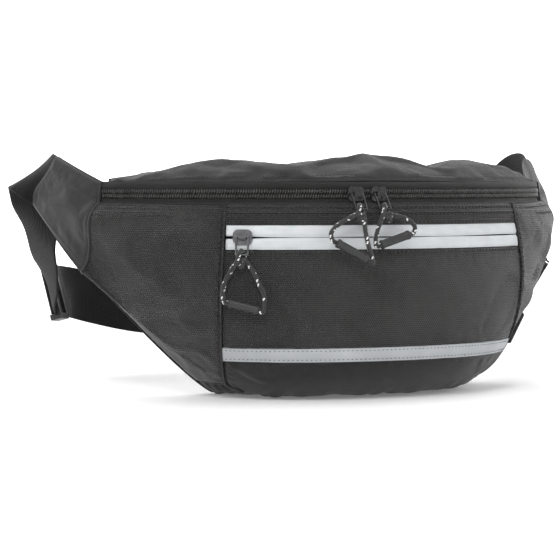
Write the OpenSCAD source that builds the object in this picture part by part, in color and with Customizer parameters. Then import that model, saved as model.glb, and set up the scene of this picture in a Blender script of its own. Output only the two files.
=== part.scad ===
// Waist pack with a curved front, two zipped compartments, side wings and a webbing belt.
// Row frame: X to the right, -Y to the front, +Z up, origin on the base.

/* [Body] */
// Radius of the curved front along the main zip, mm
front_r = 200; // [180:1:230]
// Height of the seam between the front panels and the main zip, mm
seam_z = 133; // [120:1:150]
// Height of the main zip's centre line, mm
zip_z = 140; // [127:1:157]
// How far the front bellies out beyond the zip, mm
belly = 9; // [2:0.5:12]
// Half angle of the curved front at the zip ends, degrees
end_deg = 59.4; // [50:0.2:62]
// Height of the back panel's upper edge in the middle, mm
back_top_z = 158; // [150:1:170]
// Height gained by the lower edge at the wings, mm
side_rise = 86; // [60:1:95]
// Thickness of the woven shell fabric with its lining, mm
fabric_t = 1.2; // [0.8:0.1:1.6]

/* [Pocket] */
// Half angle of the front pocket's side seams, degrees
pocket_deg = 32.6; // [28:0.2:34]
// Height of the pocket zip's slit, mm
slit_z = 111.1; // [108:0.1:114]
// Height of the reflective band around the pocket zip, mm
band_h = 15.5; // [13:0.5:17]
// Height of the lower reflective strip, mm
strip_h = 9; // [6:0.5:12]
// Height of the lower reflective strip's centre, mm
strip_z = 33; // [28:0.5:40]

/* [Belt] */
// Width of the belt webbing, mm
web_w = 38; // [30:1:40]
// Thickness of the belt webbing, mm
web_t = 1.4; // [1.2:0.1:1.6]

/* [Pullers] */
// Diameter of the puller cord, mm
cord_d = 3.2; // [2.5:0.1:3.4]
// Length of the puller grips, mm
grip_l = 25; // [20:0.5:26]
// Diameter of the puller grips, mm
grip_d = 6.2; // [6:0.1:8]

/* [Hidden] */
arc_y = 138;
flat_u = 0.40;
base_r = 166;
top_z = 147;
seam_r = 202.5;
pocket_u = 0.548;
gap_u = 0.003;
left_deg = -7.8;
right_deg = -3.2;
pull_deg = -29.3;
band_tilt = 9;
glide_pos = [-163, 170, 69];
glide_rot = [-15, 4.6, 58.5];
$fn = 32;

// ---- small helpers ----
function lim(x) = min(1, max(0, x));
function smooth(a, b, x) = let(s = lim((x - a) / (b - a))) s * s * (3 - 2 * s);
function unit(v) = v / norm(v);
function mix(a, b, k) = a + (b - a) * k;
function pol(r, th, z) = [r * sin(th), arc_y - r * cos(th), z];

// ---- the bag's surfaces ----
// u runs from -1 at the left wing seam to 1 at the right one, t from 0 at the lower edge up to 1.
function edge_s(u) = lim((abs(u) - flat_u) / (1 - flat_u));
function edge_z(u) = fabric_t + side_rise * pow(edge_s(u), 1.7);
function edge_r(u) = base_r + 44 * pow(edge_s(u), 2.4);
function end_angle(t) = end_deg + 2.6 * pow(lim(1 - t), 2);
function skin(u, t) = let(
    m = smooth(0.25, 0.75, abs(u)), m2 = smooth(0.55, 0.88, abs(u)),
    q = lim(1 - t / (0.30 + 0.65 * m)),
    drop = (seam_r - edge_r(u)) * (1 - sqrt(max(0, 1 - q * q))),
    full = (belly + 0.5 * m2) * pow(max(0, sin(180 * pow(lim(t), 1 + 1.2 * m2))), 0.85))
    pol(seam_r + full - drop, u * end_angle(t), mix(edge_z(u), seam_z, t));
function skin_at(u, z) = skin(u, (z - edge_z(u)) / (seam_z - edge_z(u)));
function back_y(x) = arc_y - 112 + 15 * pow(x / 170, 2);
function low_edge(u) = let(
    x = abs(u) < flat_u ? 92 * abs(u) / flat_u : 92 + 88 * pow(edge_s(u), 1.45))
    [x * sign(u), back_y(x), edge_z(u)];
function high_edge(u) = [168 * u, back_y(168 * u), back_top_z - 10 * pow(abs(u), 3)];
function back(u, v) = let(p = mix(low_edge(u), high_edge(u), v)) [p.x, back_y(p.x), p.z];
function crest(u) = 12.5 * (1 - pow(abs(u), 1.7)) + 1.5 * cos(540 * u) * (1 - u * u);
function top(u, w) = let(p = mix(pol(199, end_deg * u, top_z), high_edge(u), w))
    p + [0, 0, 0.9 * crest(u) * pow(sin(180 * pow(w, 0.8)), 0.8)];
function under(u, w) = mix(low_edge(u), skin(u, 0), w);
// s runs outwards along a wing, t from its lower edge to its upper one.
function wing(s, t, side) = let(
    z0 = mix(edge_z(1), 148, t), k = lim((z0 - edge_z(1)) / (seam_z - edge_z(1))), a = skin(1, k),
    r0 = norm([a.x, a.y - arc_y]) - 2 * lim((z0 - seam_z) / 15),
    r = mix(r0, 209.5 - 9 * t, 1 - pow(1 - s, 1.3)),
    th = end_angle(k) + 0.02 + (60 - 14 * t) * s / 200 * 53.3)
    pol(r, side * th, z0 + s * (46 - 29 * t));

// ---- a sheet of fabric: a grid over f(a, b), between two offsets along its normal ----
function normal(f, a, b) = let(e = 0.004, a0 = max(0, a - e), a1 = min(1, a + e),
    b0 = max(0, b - e), b1 = min(1, b + e))
    unit(cross(f(a1, b) - f(a0, b), f(a, b1) - f(a, b0)));
module sheet(f, na, nb, inner, outer) {
    n = (na + 1) * (nb + 1);
    at = function (i, j) i * (nb + 1) + j;
    grid = [for (i = [0 : na], j = [0 : nb]) [f(i / na, j / nb), normal(f, i / na, j / nb)]];
    pts = concat([for (g = grid) g[0] + g[1] * outer], [for (g = grid) g[0] + g[1] * inner]);
    skin_faces = [for (i = [0 : na - 1], j = [0 : nb - 1], h = [0, 1])
        h == 0 ? [at(i, j), at(i, j + 1), at(i + 1, j + 1)]
               : [at(i, j), at(i + 1, j + 1), at(i + 1, j)]];
    rim = concat([for (i = [0 : na]) at(i, 0)], [for (j = [1 : nb]) at(na, j)],
        [for (i = [na - 1 : -1 : 0]) at(i, nb)], [for (j = [nb - 1 : -1 : 1]) at(0, j)]);
    m = len(rim);
    polyhedron(points = pts, faces = concat(
        skin_faces,
        [for (q = skin_faces) [q[0] + n, q[2] + n, q[1] + n]],
        [for (k = [0 : m - 1], h = [0, 1]) let(a = rim[k], b = rim[(k + 1) % m])
            h == 0 ? [a, b, b + n] : [a, b + n, a + n]]), convexity = 8);
}

// ---- a smooth line through points, and what is swept along it ----
function cr(a, b, c, d, k) = 0.5 * (2 * b + (c - a) * k + (2 * a - 5 * b + 4 * c - d) * k * k
    + (3 * b - a - 3 * c + d) * k * k * k);
function spline(p, n) = let(m = len(p)) concat([for (i = [0 : m - 2], k = [0 : n - 1])
    cr(p[max(0, i - 1)], p[i], p[i + 1], p[min(m - 1, i + 2)], k / n)], [p[m - 1]]);
function dirs(p) = let(m = len(p)) [for (i = [0 : m - 1]) unit(p[min(m - 1, i + 1)] - p[max(0, i - 1)])];
function carried(t, n0) = [for (i = 0, v = unit(n0 - t[0] * (n0 * t[0])); i < len(t);
    i = i + 1, v = i < len(t) ? unit(v - t[i] * (v * t[i])) : v) v];
module swept(rings) {
    m = len(rings); k = len(rings[0]);
    polyhedron(points = [for (r = rings) each r], faces = concat(
        [[for (j = [0 : k - 1]) j]],
        [for (i = [0 : m - 2], j = [0 : k - 1], h = [0, 1]) let(a = i * k + j, b = i * k + (j + 1) % k)
            h == 0 ? [a, a + k, b + k] : [a, b + k, b]],
        [[for (j = [k - 1 : -1 : 0]) (m - 1) * k + j]]), convexity = 8);
}
module tube(p, d, n0) {
    t = dirs(p); v = carried(t, n0);
    swept([for (i = [0 : len(p) - 1]) let(w = cross(t[i], v[i]))
        [for (a = [0 : 45 : 315]) p[i] + (v[i] * cos(a) - w * sin(a)) * d / 2]]);
}
// A flat ribbon: c its centre line, w the half-width direction at each point.
module ribbon(c, w, low, high) {
    t = dirs(c);
    swept([for (i = [0 : len(c) - 1]) let(q = unit(w[i] - t[i] * (w[i] * t[i])) * web_w / 2,
        n = unit(cross(t[i], q)))
        [c[i] - q + n * low, c[i] + q + n * low, c[i] + q + n * high, c[i] - q + n * high]]);
}
module on_arc(deg, r, z) { translate([0, arc_y, 0]) rotate([0, 0, deg]) translate([0, -r, z]) children(); }
module arc_band(half, pts) {
    translate([0, arc_y, 0]) rotate([0, 0, -90 - half]) rotate_extrude(angle = 2 * half, $fn = 180)
        polygon(pts);
}

// ---- shell fabric ----
module front_panel() {
    color([0.20, 0.20, 0.21]) sheet(function (a, b) skin_at(mix(-pocket_u, pocket_u, a),
        mix(strip_z + 0.2, slit_z - band_h / 2 - 0.2, b)), 28, 8, 0, fabric_t);
}
module front_top_strip() {
    color([0.20, 0.20, 0.21]) sheet(function (a, b) skin_at(mix(-pocket_u, pocket_u, a),
        mix(slit_z + band_h / 2 + 0.2, seam_z, b)), 28, 2, 0, fabric_t);
}
module bottom_panel() {
    color([0.26, 0.26, 0.27]) sheet(function (a, b) let(u = mix(-pocket_u, pocket_u, a))
        b < 0.4 ? under(u, b / 0.4)
                : skin(u, (strip_z - 0.2 - edge_z(u)) / (seam_z - edge_z(u)) * pow((b - 0.4) / 0.6, 1.7)),
        28, 15, 0, fabric_t);
}
module side_panel(side) {
    color([0.22, 0.22, 0.23]) sheet(function (a, b) skin(side > 0 ? mix(pocket_u + gap_u, 0.999, a)
        : mix(-0.999, -pocket_u - gap_u, a), pow(b, 1.5)), 14, 12, 0, fabric_t);
}
module side_panel_left() { side_panel(-1); }
module side_panel_right() { side_panel(1); }
module gusset(side) {
    color([0.16, 0.16, 0.17]) sheet(function (a, b) under(side > 0 ? mix(pocket_u + gap_u, 0.995, a)
        : mix(-0.995, -pocket_u - gap_u, a), mix(0.05, 0.93, b)), 14, 3, 0, fabric_t);
}
module gusset_left() { gusset(-1); }
module gusset_right() { gusset(1); }
module top_panel() {
    color([0.22, 0.22, 0.23]) sheet(function (a, b) top(mix(-0.985, 0.985, a), mix(0.01, 0.985, b)),
        36, 8, 0, fabric_t);
}
module back_panel() {
    color([0.08, 0.08, 0.09]) sheet(function (a, b) back(mix(0.985, -0.985, a), mix(0.02, 1, b)),
        28, 8, 0.3, 1.6);
}
module back_foam() {
    color([0.30, 0.30, 0.32]) sheet(function (a, b) back(mix(0.92, -0.92, a), mix(0.08, 0.92, b)),
        24, 6, -6, 0);
}
module back_binding() {
    low = [for (i = [0 : 40]) let(u = mix(-0.97, 0.97, i / 40)) low_edge(u)];
    color([0.10, 0.10, 0.11]) swept([for (p = low)
        [p + [0, 1.9, -0.6], p + [0, 1.9, 4.4], p + [0, 3.1, 4.4], p + [0, 3.1, -0.6]]]);
}
module pocket_lining() {
    color([0.35, 0.35, 0.36]) translate([0, arc_y - 166, 0]) rotate([90, 0, 0]) linear_extrude(0.8)
        polygon([[-58, 16], [58, 16], [84, 30], [96, 52], [100, 75], [100, 120], [96, 127],
            [-96, 127], [-100, 120], [-100, 75], [-96, 52], [-84, 30]]);
}

// ---- reflective trim and zips ----
function front_radius(z) = seam_r + belly * pow(sin(180 * z / seam_z), 0.85);
module reflective_strip() {
    color([0.74, 0.75, 0.76]) sheet(function (a, b) skin_at(mix(-pocket_u + 0.002, pocket_u - 0.002, a),
        strip_z + mix(-strip_h / 2, strip_h / 2, b)), 28, 2, fabric_t + 0.1, fabric_t + 0.7);
}
module zip_sheet(half, z0, z1, low, high) {
    arc_band(half, concat([for (k = [0 : 4]) let(z = mix(z0, z1, k / 4)) [front_radius(z) + high, z]],
        [for (k = [4 : -1 : 0]) let(z = mix(z0, z1, k / 4)) [front_radius(z) + low, z]]));
}
module band_upper() {
    color([0.86, 0.87, 0.88]) zip_sheet(pocket_deg - 0.3, slit_z + 0.5, slit_z + band_h / 2, 0.1, 1);
}
module band_lower() {
    color([0.86, 0.87, 0.88]) zip_sheet(pocket_deg - 0.3, slit_z - band_h / 2, slit_z - 0.5, 0.1, 1);
}
module pocket_coil_upper() {
    color([0.13, 0.13, 0.14]) zip_sheet(pocket_deg - 1, slit_z + 0.9, slit_z + 2.9, -2, -0.1);
}
module pocket_coil_lower() {
    color([0.13, 0.13, 0.14]) zip_sheet(pocket_deg - 1, slit_z - 2.9, slit_z - 0.9, -2, -0.1);
}
module zip_tape_front() {
    color([0.12, 0.12, 0.13]) arc_band(end_deg - 0.05, [[seam_r - 0.3, seam_z - 4], [seam_r - 1.2, seam_z - 4],
        [front_r - 0.4, zip_z - 3.4], [front_r + 0.4, zip_z - 3.4]]);
}
module zip_tape_rear() {
    color([0.12, 0.12, 0.13]) arc_band(end_deg - 0.05, [[front_r + 0.4, zip_z + 3.4], [front_r - 0.4, zip_z + 3.4],
        [198.2, top_z - 0.4], [199, top_z - 0.4]]);
}
module zip_coil_front() {
    color([0.17, 0.17, 0.18]) arc_band(end_deg - 0.4, [[front_r - 1.3, zip_z - 3.3], [front_r + 1.3, zip_z - 3.3],
        [front_r + 1.5, zip_z - 2], [front_r + 1.3, zip_z - 0.8], [front_r - 1.3, zip_z - 0.8], [front_r - 1.5, zip_z - 2]]);
}
module zip_coil_rear() {
    color([0.17, 0.17, 0.18]) arc_band(end_deg - 0.4, [[front_r - 1.3, zip_z + 0.8], [front_r + 1.3, zip_z + 0.8],
        [front_r + 1.5, zip_z + 2], [front_r + 1.3, zip_z + 3.3], [front_r - 1.3, zip_z + 3.3], [front_r - 1.5, zip_z + 2]]);
}

// ---- wings ----
module wing_cover(side) {
    color([0.27, 0.27, 0.28]) sheet(function (a, b) wing(side > 0 ? mix(0.004, 1, a) : mix(1, 0.004, a), b, side),
        8, 8, 0, fabric_t);
}
module wing_left() { wing_cover(-1); }
module wing_right() { wing_cover(1); }
module wing_pad(side) {
    color([0.10, 0.10, 0.11]) sheet(function (a, b) wing(side > 0 ? mix(0.03, 0.97, a) : mix(0.97, 0.03, a),
        mix(0.04, 0.96, b), side), 8, 6, -7, -3.6);
}
module wing_pad_left() { wing_pad(-1); }
module wing_pad_right() { wing_pad(1); }

// ---- belt ----
function turned(v) = let(a = glide_rot[0], b = glide_rot[1], c = glide_rot[2],
    p = [v.x, v.y * cos(a) - v.z * sin(a), v.y * sin(a) + v.z * cos(a)],
    q = [p.x * cos(b) + p.z * sin(b), p.y, -p.x * sin(b) + p.z * cos(b)])
    [q.x * cos(c) - q.y * sin(c), q.x * sin(c) + q.y * cos(c), q.z];
run = turned([1, 0, 0]);
rise = turned([0, 0, 1]);
fwd = turned([0, 1, 0]);
function by_glide(x, y) = glide_pos + run * x + fwd * y;
// Left belt: out of the wing, over the fold, down to the adjuster and round behind.
left_c = [[-193.6, 73.4, 141.2], [-195.9, 83.8, 148], [-199.9, 94, 152.4], [-200.5, 103, 154], [-198, 111, 152],
    [-194, 118, 145.5], [-191, 124, 132], [-187.5, 130, 118], [-184, 136, 104], [-179.5, 142, 90],
    [-175, 149, 78], by_glide(-15, 0), by_glide(0, 0), by_glide(14, 0), by_glide(28, 0),
    by_glide(40, 0), [-130, 213, 62], [-112, 217, 57], [-86, 218, 51], [-62, 218, 47.5],
    [-46, 218, 47], [-38.4, 218, 47]];
left_w = [[7, -10, 16], [8, -9, 16], [12, -5, 14], [14, -6, 11], [15, -7, 10], [14, -9, 9],
    [11, -14, 8], [6, -17, 5], [3, -19, 1], [4, -17, -6], [4, -12, -13],
    rise * -19, rise * -19, rise * -19, rise * -19, rise * -19,
    [-3, -1, -19], [-4, 0, -18], [-4, 0, -18], [-2, 0, -19], [0, 0, -19], [0, 0, -19]];
module belt_left() {
    color([0.09, 0.09, 0.09]) ribbon(spline(left_c, 2), spline(left_w, 2), -web_t / 2, web_t / 2);
}
// Return layer: round the adjuster's middle bar, back to the buckle and round its bar.
return_c = [by_glide(5, 1.75), by_glide(-1, 1.75), by_glide(-3.9, 2.1), by_glide(-4.8, 3.5),
    by_glide(-3.9, 4.9), by_glide(0, 5.2), by_glide(12, 4.8), by_glide(26, 3.6), by_glide(38, 3),
    [-133, 215.4, 62.6], [-112, 220, 57], [-86, 221, 51], [-62, 221, 47.5], [-46, 221.1, 47],
    [-38.6, 221.2, 47]];
return_w = [rise * -19, rise * -19, rise * -19, rise * -19, rise * -19, rise * -19, rise * -19,
    rise * -19, rise * -19, [-3, -1, -19], [-4, 0, -18], [-4, 0, -18], [-2, 0, -19],
    [0, 0, -19], [0, 0, -19]];
module belt_return() {
    color([0.09, 0.09, 0.09]) ribbon(spline(return_c, 2), spline(return_w, 2), -web_t / 2, web_t / 2);
}
right_c = [[193.6, 73.4, 141.2], [195.9, 83.8, 148], [199, 98, 152.4], [199, 118, 148], [194, 143, 131],
    [182, 168, 107], [160, 190, 82], [128, 208, 61], [95, 216, 51], [66, 216, 47.5], [46, 215.6, 47],
    [32, 215.4, 47], [28.4, 216.2, 47], [27.2, 218, 47], [28.4, 219.8, 47], [32, 220.6, 47],
    [52, 219.6, 47]];
right_w = [[-7, -10, 16], [-8, -9, 16], [-6, -6, 17], [-4, 2, 18], [-3, 6, 17], [-2, 8, 17], [2, 7, 17],
    [3, 5, 18], [3, 2, 18], [1, 0, 19], [0, 0, 19], [0, 0, 19], [0, 0, 19], [0, 0, 19],
    [0, 0, 19], [0, 0, 19], [0, 0, 19]];
module belt_right() {
    color([0.09, 0.09, 0.09]) ribbon(spline(right_c, 2), spline(right_w, 2), -web_t / 2, web_t / 2);
}
module rounded_plate(x, z, y, r) {
    rotate([90, 0, 0]) translate([0, 0, -y / 2]) linear_extrude(y) square_round(x, z, r);
}
module square_round(x, z, r) {
    union() {
        square([x - 2 * r, z], center = true);
        square([x, z - 2 * r], center = true);
        for (i = [-1, 1], j = [-1, 1]) translate([i * (x / 2 - r), j * (z / 2 - r)]) circle(r);
    }
}
// The adjuster: two side rails, two outer bars in front of the webbing, one middle bar behind it.
module triglide() {
    color([0.24, 0.24, 0.25]) translate(glide_pos) rotate(glide_rot) {
        for (j = [-1, 1]) translate([0, 1, j * (web_w / 2 + 2.8)]) rounded_plate(26, 4.4, 8, 1.6);
        for (i = [-1, 1]) translate([i * 10.4, -2, 0]) cube([4.6, 2, web_w + 3], center = true);
        translate([0, 3.45, 0]) cube([4.4, 1.3, web_w + 3], center = true);
    }
}

// ---- side-release buckle behind the back panel ----
buckle = [0, 218, 47];
module buckle_female() {
    color([0.10, 0.10, 0.11]) translate(buckle) difference() {
        union() {
            translate([-8, 0, 0]) rounded_plate(42, 50, 11, 4);
            for (j = [-1, 1]) translate([-34, 0, j * 22]) cube([20, 7, 4.4], center = true);
            translate([-41.2, 1.55, 0]) cube([4, 1.3, 46], center = true);
        }
        translate([-4, 0, 0]) cube([40, 6.6, 40], center = true);
        for (j = [-1, 1]) translate([-11, 0, j * 22]) cube([18, 6.6, 12], center = true);
    }
}
module buckle_male() {
    color([0.10, 0.10, 0.11]) translate(buckle) {
        difference() {
            translate([25.4, 0, 0]) rounded_plate(20, 50, 10, 4);
            translate([26, 0, 0]) cube([7, 12, 39.4], center = true);
            for (j = [-1, 1]) translate([16.4, 0, j * 14.4]) rotate([90, 0, 0])
                cylinder(r = 2.7, h = 12, center = true);
            for (j = [-1, 1]) translate([33, j * 5, 0]) cube([10, 7.4, 39.4], center = true);
        }
        translate([6, 0, 0]) cube([22, 4.4, 9], center = true);
    }
}
module prong() {
    color([0.10, 0.10, 0.11]) {
        translate([15.6, 0, 14.4]) rotate([90, 0, 0]) cylinder(r = 2.3, h = 5, center = true);
        rotate([90, 0, 0]) translate([0, 0, -2.5]) linear_extrude(5)
            polygon([[15.4, 12.4], [15.4, 16.4], [-4, 17.6], [-5, 22.2], [-10, 22.4], [-18, 17.2],
                [-18, 14.4], [-8, 14.2]]);
    }
}
module prong_upper() { translate(buckle) prong(); }
module prong_lower() { translate(buckle) mirror([0, 0, 1]) prong(); }

// ---- loop of narrow webbing on the right lower edge ----
module side_loop() {
    color([0.10, 0.10, 0.10]) translate([149.3, 31.2, 40.8]) rotate([0, 0, 20]) rotate([0, 38, 0])
        translate([0, 0, -12.5]) linear_extrude(25) difference() {
            union() { translate([1, 0]) circle(4.2); translate([-5, -4.2]) square([6, 8.4]); }
            union() { translate([1, 0]) circle(2.8); translate([-6, -2.8]) square([7, 5.6]); }
        }
}

// ---- sliders, drawn at the front of the arc: x along the zip, -y outwards ----
module main_slider(deg) {
    color([0.05, 0.05, 0.05]) on_arc(deg, front_r, zip_z) {
        translate([0, -2.5, 0]) rounded_plate(11.4, 10, 1.4, 3);
        translate([0, 2.5, 0]) rounded_plate(11.4, 9, 1.2, 3);
        translate([0, 0, 0]) cube([2.6, 4.6, 1.1], center = true);
        difference() {
            translate([0, -4.9, 0]) cube([5, 3.8, 3], center = true);
            translate([0, -5.4, 0]) rotate([0, 90, 0]) cylinder(r = 0.72, h = 12, center = true);
        }
    }
}
module main_slider_left() { main_slider(left_deg); }
module main_slider_right() { main_slider(right_deg); }
slit_r = front_radius(slit_z);
module on_band() { on_arc(pull_deg, slit_r, slit_z) rotate([-band_tilt, 0, 0]) children(); }
module pocket_slider() {
    color([0.30, 0.30, 0.31]) on_band() {
        translate([0, -2.1, 0]) rounded_plate(13, 10, 1.6, 3.6);
        translate([0, 3.1, 0]) rounded_plate(10, 7.6, 1, 2.4);
        cube([2.6, 6, 0.6], center = true);
        difference() {
            translate([0, -4.1, 0]) cube([5, 3.2, 3.2], center = true);
            translate([0, -4.5, 0]) rotate([0, 90, 0]) cylinder(r = 0.72, h = 12, center = true);
        }
    }
}
// Wire bail hanging from the slider's crown, tilted outwards to lie on the belly.
module bail(lean, drop) {
    half = 4;
    rotate([-lean, 0, 0]) {
        rotate([0, 90, 0]) cylinder(r = 0.6, h = 2 * half, center = true);
        for (i = [-1, 1]) {
            translate([i * half, 0, -drop]) cylinder(r = 0.6, h = drop);
            translate([i * half, 0, 0]) sphere(0.6);
            translate([i * half, 0, -drop]) sphere(0.6);
        }
        translate([0, 0, -drop]) rotate([0, 90, 0]) cylinder(r = 0.6, h = 2 * half, center = true);
    }
}
module bail_left() {
    color([0.05, 0.05, 0.05]) on_arc(left_deg, front_r, zip_z) translate([0, -5.4, 0]) bail(42, 13.5);
}
module bail_right() {
    color([0.05, 0.05, 0.05]) on_arc(right_deg, front_r, zip_z) translate([0, -5.4, 0]) bail(42, 13.5);
}
module bail_pocket() {
    color([0.25, 0.25, 0.26]) on_band() translate([0, -4.5, 0]) bail(14 - band_tilt, 12.5);
}

// ---- puller cords and grips: [along the zip, outwards from the arc, height] ----
left_grip = [[-19.5, 221.8, 108], [1.5, 222.9, 96.5]];
right_grip = [[-5.5, 218.4, 106], [16, 218.4, 113]];
pocket_grip = [[-8.5, 217, 68], [11.5, 217, 63]];
function into(g, end, d) = let(v = unit(g[1] - g[0])) end == 0 ? g[0] + v * d : g[1] - v * d;
left_path = [into(left_grip, 0, 4), into(left_grip, 0, 0), into(left_grip, 0, -3), [-22.6, 220, 114.5],
    [-17, 218, 120], [-9, 217.4, 124.4], [-3.6, 217.3, 127.4], [-2, 215.9, 132], [-0.4, 212.4, 132.4],
    [1, 212.5, 128.4], [1.6, 215.3, 124], [1.2, 218, 117], [2, 221.4, 107.5],
    into(left_grip, 1, -4), into(left_grip, 1, 0), into(left_grip, 1, 4)];
right_path = [into(right_grip, 0, 4), into(right_grip, 0, 0), into(right_grip, 0, -3), [-9, 218.4, 109.6],
    [-7.4, 217.8, 115.6], [-5, 217.2, 121.5], [-2.8, 217.3, 127], [-1.6, 215.9, 132], [0, 212.4, 132.4],
    [1.6, 212.5, 128.4], [5.4, 215, 125.8], [10.5, 216.6, 124.6], [15.6, 217.6, 122.4], [19.8, 218.4, 118.2],
    into(right_grip, 1, -3), into(right_grip, 1, 0), into(right_grip, 1, 4)];
pocket_path = [into(pocket_grip, 0, 4), into(pocket_grip, 0, 0), into(pocket_grip, 0, -3), [-12.4, 216.4, 74.5],
    [-11, 216, 82], [-6.6, 216.2, 90], [-3, 217, 95.4], [-1.6, 217.2, 100], [-0.4, 215.4, 102.6],
    [0.8, 212.4, 100.8], [2.6, 213.5, 96], [7.4, 215.4, 89], [11.4, 216, 81], [14.8, 216.4, 73],
    into(pocket_grip, 1, -3), into(pocket_grip, 1, 0), into(pocket_grip, 1, 4)];
module puller(deg, path) {
    color([0.10, 0.10, 0.10]) translate([0, arc_y, 0]) rotate([0, 0, deg])
        tube([for (p = spline(path, 2)) [p.x, -sqrt(p.y * p.y - p.x * p.x), p.z]], cord_d, [0, 1, 0]);
}
module cord_left() { puller(left_deg, left_path); }
module cord_right() { puller(right_deg, right_path); }
module cord_pocket() { puller(pull_deg, pocket_path); }
module grip(deg, g) {
    a = [g[0].x, -sqrt(pow(g[0].y, 2) - pow(g[0].x, 2)), g[0].z];
    b = [g[1].x, -sqrt(pow(g[1].y, 2) - pow(g[1].x, 2)), g[1].z];
    v = unit(b - a);
    color([0.15, 0.15, 0.16]) translate([0, arc_y, 0]) rotate([0, 0, deg]) translate((a + b) / 2)
        rotate([0, acos(v.z), atan2(v.y, v.x)]) difference() {
            union() {
                cylinder(r = grip_d / 2, h = grip_l - 3, center = true);
                cylinder(r = grip_d / 2 - 0.8, h = grip_l, center = true);
            }
            cylinder(r = cord_d / 2 + 0.15, h = grip_l + 2, center = true);
        }
}
module grip_left() { grip(left_deg, left_grip); }
module grip_right() { grip(right_deg, right_grip); }
module grip_pocket() { grip(pull_deg, pocket_grip); }

front_panel();
front_top_strip();
bottom_panel();
side_panel_left();
side_panel_right();
top_panel();
gusset_left();
gusset_right();
back_panel();
back_foam();
back_binding();
pocket_lining();
reflective_strip();
band_upper();
band_lower();
pocket_coil_upper();
pocket_coil_lower();
zip_tape_front();
zip_tape_rear();
zip_coil_front();
zip_coil_rear();
wing_left();
wing_right();
wing_pad_left();
wing_pad_right();
side_loop();
belt_left();
belt_return();
belt_right();
triglide();
buckle_female();
buckle_male();
prong_upper();
prong_lower();
main_slider_left();
main_slider_right();
pocket_slider();
bail_left();
bail_right();
bail_pocket();
cord_left();
cord_right();
cord_pocket();
grip_left();
grip_right();
grip_pocket();
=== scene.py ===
"""Looks for the waist pack: sewn fabric panels, coil zips, cord pullers, webbing belt and buckle."""
import math
import bpy
import numpy as np
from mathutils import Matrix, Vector


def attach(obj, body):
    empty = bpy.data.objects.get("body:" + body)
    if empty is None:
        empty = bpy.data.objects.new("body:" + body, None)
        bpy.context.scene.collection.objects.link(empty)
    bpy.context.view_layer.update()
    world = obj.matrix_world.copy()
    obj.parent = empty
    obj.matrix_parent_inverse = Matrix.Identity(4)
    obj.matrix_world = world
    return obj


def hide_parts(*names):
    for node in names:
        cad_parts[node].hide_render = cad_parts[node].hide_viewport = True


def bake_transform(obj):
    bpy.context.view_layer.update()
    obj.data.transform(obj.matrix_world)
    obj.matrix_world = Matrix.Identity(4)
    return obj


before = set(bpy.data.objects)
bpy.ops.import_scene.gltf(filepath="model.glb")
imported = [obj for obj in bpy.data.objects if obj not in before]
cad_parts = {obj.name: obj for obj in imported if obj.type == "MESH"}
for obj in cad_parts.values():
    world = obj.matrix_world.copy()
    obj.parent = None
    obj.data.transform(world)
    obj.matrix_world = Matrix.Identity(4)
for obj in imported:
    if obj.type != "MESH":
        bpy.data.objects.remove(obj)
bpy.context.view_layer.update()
scene = bpy.context.scene
MM = 0.001

# ---- sizes, in millimetres, as in the CAD ----
ARC_Y = 138.0
FRONT_R = 200.0
SEAM_R = 202.5
SEAM_Z = 133.0
ZIP_Z = 140.0
TOP_Z = 147.0
BELLY = 9.0
END_DEG = 59.4
BACK_TOP_Z = 158.0
SIDE_RISE = 86.0
FABRIC = 1.2
FLAT_U = 0.40
POCKET_U = 0.548
GAP_U = 0.003
POCKET_DEG = 32.6
SLIT_Z = 111.1
BAND_H = 15.5
STRIP_H = 9.0
STRIP_Z = 33.0
WEB_W = 38.0
WEB_T = 1.4
CORD_D = 3.2
GRIP_L = 25.0
LEFT_DEG = -7.8
RIGHT_DEG = -3.2
PULL_DEG = -29.3
GLIDE_POS = (-163, 170, 69)
GLIDE_ROT = (-15, 4.6, 58.5)


# ---- the camera comes first: long lens, low, from the pack's left front ----
def make_camera():
    data = bpy.data.cameras.new("camera")
    data.lens, data.sensor_width = 135.6, 36
    data.clip_start, data.clip_end = 0.05, 40
    cam = bpy.data.objects.new("camera", data)
    cam.location = (-0.657, -1.329, 0.148)
    aim = Vector((-0.0385, 0.0364, 0.0783)) - cam.location
    cam.rotation_mode = "QUATERNION"
    cam.rotation_quaternion = aim.to_track_quat("-Z", "Y")
    scene.collection.objects.link(cam)
    scene.camera = cam


make_camera()


# ---- small maths ----
def lim(x):
    return np.clip(x, 0, 1)


def smooth(a, b, x):
    s = lim((x - a) / (b - a))
    return s * s * (3 - 2 * s)


def mix(a, b, k):
    return a + (b - a) * k


def unit(v):
    v = np.asarray(v, float)
    return v / np.maximum(np.linalg.norm(v, axis=-1, keepdims=True), 1e-12)


def pol(r, deg, z):
    a = np.radians(deg)
    return np.stack(np.broadcast_arrays(r * np.sin(a), ARC_Y - r * np.cos(a), z), -1).astype(float)


def wave(x):
    return np.sin(2 * np.pi * x)


# ---- the pack's surfaces: u from the left wing seam to the right, t from the lower edge up ----
def edge_s(u):
    return lim((np.abs(u) - FLAT_U) / (1 - FLAT_U))


def edge_z(u):
    return FABRIC + SIDE_RISE * edge_s(u) ** 1.7


def edge_r(u):
    return 166 + 44 * edge_s(u) ** 2.4


def end_angle(t):
    return END_DEG + 2.6 * lim(1 - t) ** 2


def skin(u, t):
    m, m2 = smooth(0.25, 0.75, np.abs(u)), smooth(0.55, 0.88, np.abs(u))
    q = lim(1 - t / (0.30 + 0.65 * m))
    drop = (SEAM_R - edge_r(u)) * (1 - np.sqrt(np.maximum(0, 1 - q * q)))
    full = (BELLY + 0.5 * m2) * np.maximum(0, np.sin(np.pi * lim(t) ** (1 + 1.2 * m2))) ** 0.85
    return pol(SEAM_R + full - drop, u * end_angle(t), mix(edge_z(u), SEAM_Z, t))


def skin_at(u, z):
    return skin(u, (z - edge_z(u)) / (SEAM_Z - edge_z(u)))


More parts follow.
